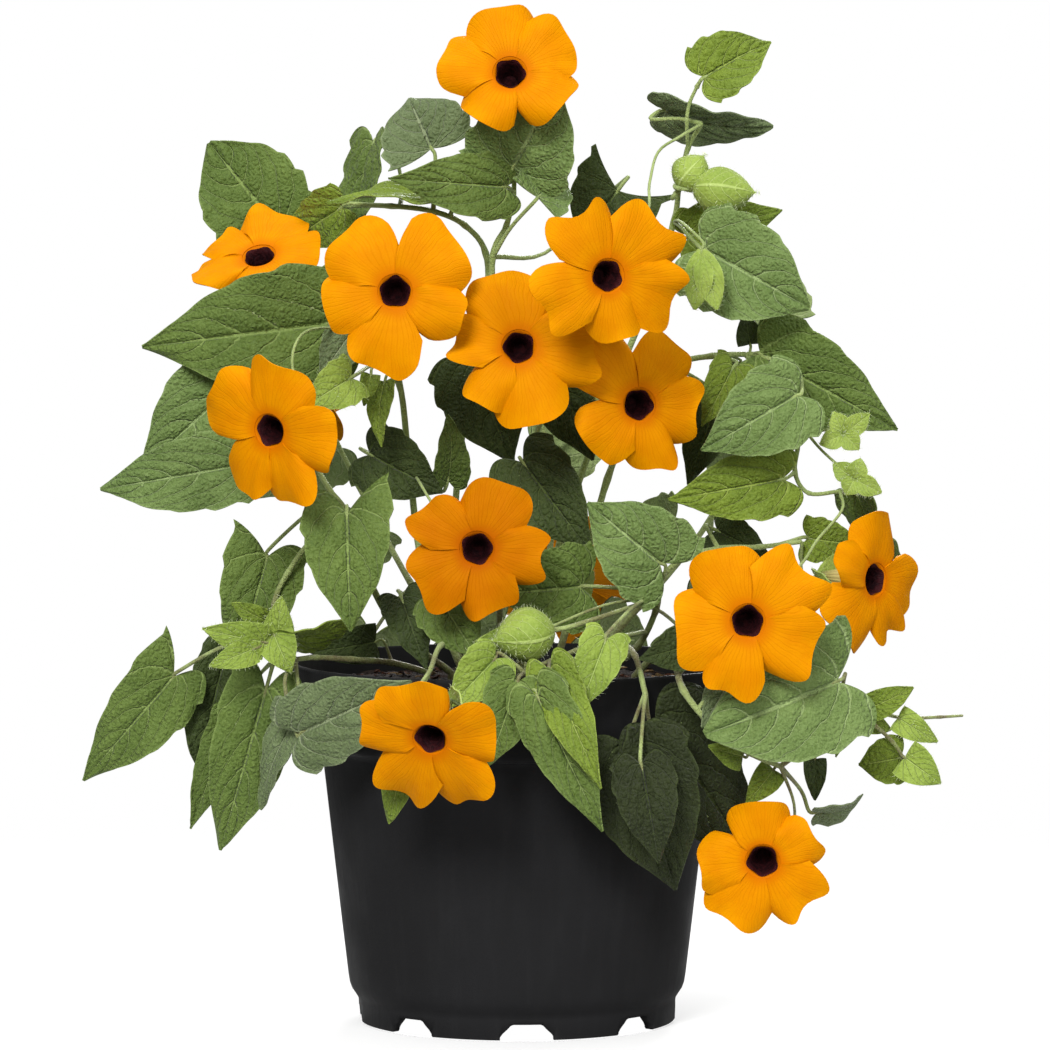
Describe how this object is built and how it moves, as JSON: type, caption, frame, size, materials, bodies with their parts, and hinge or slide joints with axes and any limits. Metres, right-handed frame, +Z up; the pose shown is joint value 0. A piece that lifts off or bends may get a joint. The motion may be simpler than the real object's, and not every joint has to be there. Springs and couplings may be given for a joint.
{
  "type": "black eyed susan vine",
  "caption": "Bushy climbing plant with dark-eyed orange five-lobed blooms and heart-shaped leaves, rooted in compost in a round black nursery pot.",
  "frame": {"origin": "centre of the pot's foot on the ground; the plant's extents are centred on the pot's axis to within 2 mm", "axes": "+Z up along the pot's axis, and the face shown in the picture looks along -Y"},
  "size_m": [0.2519, 0.2103, 0.291],
  "materials": {
    "pot": "black moulded plastic, satin",
    "soil": "damp fibrous compost",
    "petal": "soft orange petal",
    "throat": "velvety dark purple",
    "leaf": "matt green leaf, quilted between the veins"
  },
  "bodies": {
    "root": {"pot": "pot", "soil": "soil", "bloom_01_petals": "petal", "bloom_01_eye": "throat", "bloom_02_petals": "petal", "bloom_02_eye": "throat", "bloom_03_petals": "petal", "bloom_03_eye": "throat", "bloom_04_petals": "petal", "bloom_04_eye": "throat", "bloom_05_petals": "petal", "bloom_05_eye": "throat", "bloom_06_petals": "petal", "bloom_06_eye": "throat", "bloom_07_petals": "petal", "bloom_07_eye": "throat", "bloom_08_petals": "petal", "bloom_08_eye": "throat", "bloom_09_petals": "petal", "bloom_09_eye": "throat", "bloom_10_petals": "petal", "bloom_10_eye": "throat", "bloom_11_petals": "petal", "bloom_11_eye": "throat", "bloom_12_petals": "petal", "bloom_12_eye": "throat", "bloom_13_petals": "petal", "bloom_13_eye": "throat", "bloom_14_petals": "petal", "bloom_14_eye": "throat", "stem_crown": "leaf", "stem_arch": "leaf", "stem_upper_left": "leaf", "stem_lower_left": "leaf", "stem_front_left": "leaf", "stem_front": "leaf", "stem_front_right": "leaf", "stem_lower_right": "leaf", "stem_middle_right": "leaf", "stem_upper_right": "leaf", "stem_top_right": "leaf", "stem_centre": "leaf", "stem_back_left": "leaf", "stem_back_middle": "leaf", "stem_back_right": "leaf"}
  },
  "joints": []
}
